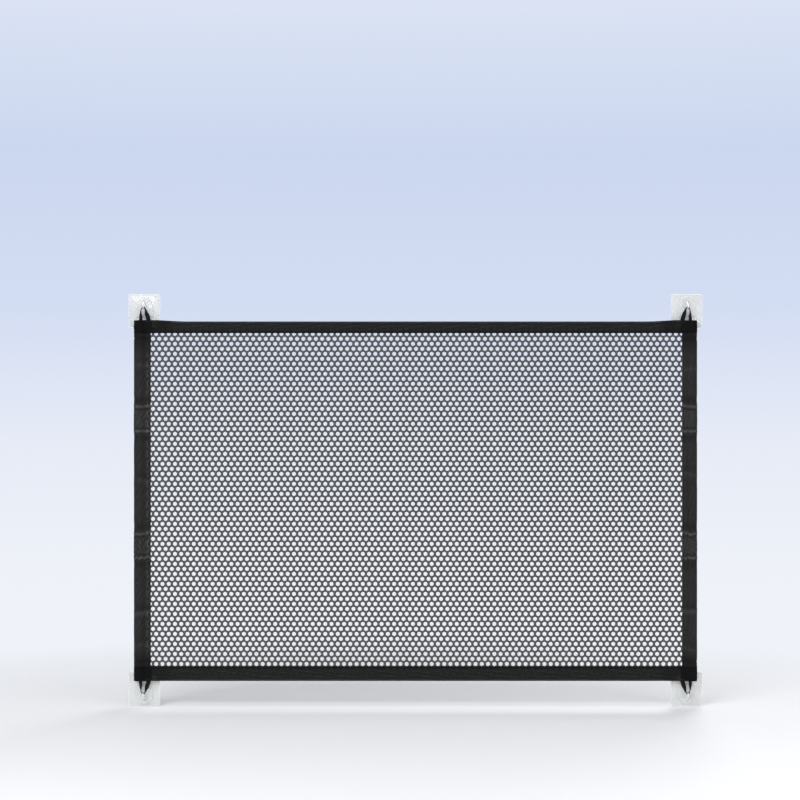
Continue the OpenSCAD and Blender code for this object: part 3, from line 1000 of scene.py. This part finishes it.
def pointed_arch(w, foot, top):
    """Outline of a pointed arch on straight sides, slightly rounded at its point and foot."""
    rise = w * ARCH_SLOPE
    radius = (rise * rise + w * w / 4) / w
    spring = top - rise
    foot_r = 2.0
    right = [
        (w / 2 - foot_r + foot_r * math.sin(a), foot + foot_r - foot_r * math.cos(a))
        for a in np.linspace(0, math.pi / 2, 5)[:-1]
    ]
    right += [(w / 2, z) for z in np.linspace(foot + foot_r, spring, 5)]
    right += [
        (w / 2 - radius + radius * math.cos(a), spring + radius * math.sin(a))
        for a in np.linspace(0, math.asin(rise / radius) * 0.95, 15)[1:]
    ]
    last_x, last_z = right[-1]
    right.append((last_x * 0.35, last_z + (top - last_z) * 0.8))
    outline = np.array(right + [(-x, z) for x, z in right[::-1]])
    return outline, -normals_of(outline, closed=True)


def fillet(inset0, off0, inset1, off1, steps=5):
    """Rings round a quarter curve from (inset0, off0) to (inset1, off1)."""
    return [
        (inset0 + (inset1 - inset0) * (1 - math.cos(t)), off0 + (off1 - off0) * math.sin(t))
        for t in np.linspace(0, math.pi / 2, steps)
    ]


def make_wall_hooks():
    plate_w, plate_h = plate_hi[0] - plate_lo[0], plate_hi[2] - plate_lo[2]
    pad_t = pad_hi[1] - pad_lo[1]
    face = pad_t + PLATE_T
    rim = face + BOSS_H
    middle = np.array([-HOOK_X, plate_lo[2] + plate_h / 2])
    outline, normal = rounded_rectangle(plate_w, plate_h, 4.0)
    pad_outline, pad_normal = rounded_rectangle(plate_w - 2, plate_h - 2, 3.0)
    arch, arch_normal = pointed_arch(ARCH_W, PANEL_Z1 + 7, TOTAL_H - 5)

    # A shallow groove runs round the plate, and a rim stands round the boss's hollow face
    plate_rings = [(0.3, pad_t), (0, pad_t + 0.3)] + fillet(0, face - 0.7, 0.7, face)
    plate_rings += [(2.2, face), (2.6, face - 0.25), (3.4, face - 0.25), (3.8, face)]
    boss_rings = [(-0.6, face - 0.02), (0, face + 0.5), (0.35, rim - 1.0)]
    boss_rings += fillet(0.35, rim - 1.0, 1.2, rim)[1:] + [(2.1, rim)]
    boss_rings += [(2.7, rim - 0.4), (3.1, rim - 1.1), (3.6, rim - 1.3)]
    pad_rings = [(0.35, 0), (0.05, 0.25), (0, 0.5), (0.05, pad_t - 0.2), (0.3, pad_t)]
    plate, plate_faces = ring_solid(outline, normal, plate_rings, middle)
    boss, boss_faces = ring_solid(arch, arch_normal, boss_rings, (-HOOK_X, 0))
    plate_faces += [[v + len(plate) for v in f] for f in boss_faces]
    plate = np.concatenate([plate, boss])
    pad, pad_faces = ring_solid(pad_outline, pad_normal, pad_rings, middle)
    wire, wire_faces = hook_wire()

    for corner, right, bottom in CORNERS:
        for name, verts, faces, sharp, slot, node in (
            ("plate", plate, plate_faces, 40, "clear_plastic", "hook_plate"),
            ("pad", pad, pad_faces, 60, "adhesive", "adhesive_pad"),
            ("wire_hook", wire, wire_faces, 60, "hook_steel", "hook"),
        ):
            placed = np.array([at_corner(v, right, bottom) for v in verts])
            obj = build(f"{corner}_{name}", placed, faces, sharp=sharp)
            finish_piece(obj, slot, f"{corner}_{node}", body="wall_hooks")


def hook_wire():
    """Round wire: out of the boss, down, round under the loop and up to a rounded tip."""
    bend_r = WIRE_R + 1.5
    shank_y = plate_lo[1] - bend_r
    tip_y = hook_lo[1] + WIRE_R
    root_z = hook_hi[2] - WIRE_R
    tip_z = BEND_Z + 9
    path = [(shank_y + bend_r + 3.9, root_z), (shank_y + bend_r + 1.5, root_z)]
    for y, z, start, stop in (
        (shank_y + bend_r, root_z - bend_r, 90, 180),
        (shank_y - bend_r, BEND_Z + bend_r, 0, -90),
        (tip_y + bend_r, BEND_Z + bend_r, -90, -180),
    ):
        path += [
            (y + bend_r * math.cos(a), z + bend_r * math.sin(a))
            for a in np.radians(np.linspace(start, stop, 9))
        ]
    path += [(tip_y, z) for z in np.linspace(BEND_Z + bend_r, tip_z, 5)[1:]]
    radii = [WIRE_R] * len(path)
    for t in np.linspace(0, math.pi / 2, 7)[1:]:
        path.append((tip_y, tip_z + WIRE_R * math.sin(t)))
        radii.append(max(WIRE_R * math.cos(t), 0.05))
    path = np.array(path)
    tangent = np.gradient(path, axis=0)
    tangent /= np.linalg.norm(tangent, axis=1, keepdims=True)
    sides = 24
    rows = []
    for (y, z), (ty, tz), r in zip(path, tangent, radii):
        for a in TAU * np.arange(sides) / sides:
            rows.append((-HOOK_X + r * math.cos(a), y - r * math.sin(a) * tz, z + r * math.sin(a) * ty))
    return rows, closed_tube(len(path), sides)


# ---------- the hidden poles ----------

def finish_poles():
    for side in ("left", "right"):
        for part, slot in (
            ("upper_tube", "tube_steel"), ("lower_tube", "tube_steel"),
            ("joiner", "plug_plastic"), ("top_plug", "plug_plastic"), ("bottom_plug", "plug_plastic"),
        ):
            paint(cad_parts[f"{side}_pole_{part}"], slot)


# ---------- camera, light and floor ----------

def make_camera():
    """A long lens, straight on. The view's width and middle are in metres."""
    across, middle_x, middle_z = 1.5639, -0.0303, 0.6011
    data = bpy.data.cameras.new("camera")
    data.lens = 85
    data.sensor_width = 36
    data.clip_end = 100
    camera = bpy.data.objects.new("camera", data)
    bpy.context.scene.collection.objects.link(camera)
    distance = across * data.lens / data.sensor_width
    camera.location = (middle_x, PANEL_Y * MM - distance, middle_z)
    camera.rotation_euler = (math.pi / 2, 0, 0)
    bpy.context.scene.camera = camera


def area_light(name, location, target, size, power):
    data = bpy.data.lights.new(name, "AREA")
    data.shape = "RECTANGLE"
    data.size, data.size_y = size
    data.energy = power
    light = bpy.data.objects.new(name, data)
    bpy.context.scene.collection.objects.link(light)
    light.location = location
    light.rotation_euler = (Vector(target) - Vector(location)).to_track_quat("-Z", "Y").to_euler()
    return light


# Colours of the backdrop, from below the horizon up
SKY = ((0.0, (0.88, 0.90, 0.95)), (0.32, (0.86, 0.885, 0.94)), (0.46, (0.79, 0.83, 0.925)),
       (0.6, (0.65, 0.72, 0.89)), (0.76, (0.60, 0.68, 0.87)), (1.0, (0.77, 0.82, 0.92)))


def make_world():
    n = Nodes("sky", "worlds")
    bpy.context.scene.world = n.owner
    coords = n.add("ShaderNodeTexCoord").outputs["Generated"]
    up = n.add("ShaderNodeSeparateXYZ", {0: coords}).outputs[2]
    ramp = n.add("ShaderNodeValToRGB", {0: n.ramp(up, -0.25, 0.25, 0.0, 1.0)})
    elements = ramp.color_ramp.elements
    elements[0].position, elements[1].position = SKY[0][0], SKY[-1][0]
    elements[0].color, elements[1].color = (*SKY[0][1], 1), (*SKY[-1][1], 1)
    for position, colour in SKY[1:-1]:
        elements.new(position).color = (*colour, 1)
    # The backdrop is for the eye; a dimmer, neutral sky lights the object
    backdrop = n.add("ShaderNodeBackground", {"Color": ramp.outputs[0]}).outputs[0]
    soft = n.add("ShaderNodeBackground", {"Color": (1, 1, 1, 1), "Strength": 0.42}).outputs[0]
    seen = n.add("ShaderNodeLightPath").outputs["Is Camera Ray"]
    either = n.add("ShaderNodeMixShader", {0: seen, 1: soft, 2: backdrop}).outputs[0]
    n.fill(n.tree.nodes["World Output"].inputs["Surface"], either)


def make_floor():
    """A pale disc that fades out into the backdrop."""
    rings, around, radius, middle_y = 24, 96, 1700, -450
    verts = [(0, middle_y, 0)]
    angles = TAU * np.arange(around) / around
    for r in radius * np.arange(1, rings + 1) / rings:
        verts += [(r * math.cos(a), middle_y + r * math.sin(a), 0) for a in angles]
    faces = [[0, 1 + a, 1 + (a + 1) % around] for a in range(around)]
    faces += grid_faces(rings, around, 1, wrap=True)
    floor = build("floor", verts, faces)
    m = Nodes("pale_floor")
    coords = m.add("ShaderNodeTexCoord").outputs["Object"]
    middle = (0, middle_y * MM, 0)
    far = m.add("ShaderNodeVectorMath", {0: coords, 1: middle}, operation="DISTANCE").outputs["Value"]
    m.set(Base_Color=(0.85, 0.865, 0.9, 1), Roughness=0.6, Alpha=m.ramp(far, 0.75, 1.6, 1.0, 0.0))
    floor.data.materials.append(m.owner)


make_camera()
net = make_net()
top_binding, top_strip = make_binding(
    "top_binding_cloth", "top_binding", NET_Z1, TOP_Z, 11, PANEL_Z1 - TOP_Z)
bottom_binding, bottom_strip = make_binding(
    "bottom_binding_cloth", "bottom_binding", NET_Z0, PANEL_Z0, 23, 0.0)
left_sleeve, left_strip = make_sleeve("left_sleeve_cloth", "left_pole_sleeve", False, 31)
right_sleeve, right_strip = make_sleeve("right_sleeve_cloth", "right_pole_sleeve", True, 47)
patches = [
    make_patch(f"{corner}_patch_cloth", f"{corner}_corner_patch", right, bottom, seed)
    for seed, (corner, right, bottom) in enumerate(CORNERS, 60)
]
make_stitching()
make_loops()
make_wall_hooks()
finish_poles()

make_world()
area_light("key", (-1.6, -3.0, 2.1), (0, 0, 0.38), (2.0, 1.4), 84)
# The front light reaches between the loops' legs, without a glare on the clear plates
area_light("front", (0.0, -3.9, 1.0), (0, 0, 0.4), (0.9, 0.7), 50).visible_glossy = False
area_light("fill", (2.2, -3.0, 0.8), (0, 0, 0.3), (1.6, 1.4), 30)
area_light("top", (0.2, -0.9, 2.6), (0, 0, 0.4), (1.8, 0.6), 8)
area_light("back", (1.3, 2.6, 2.0), (0, 0, 0.4), (1.6, 1.2), 34)
make_floor()
bpy.context.scene.view_settings.view_transform = "Standard"
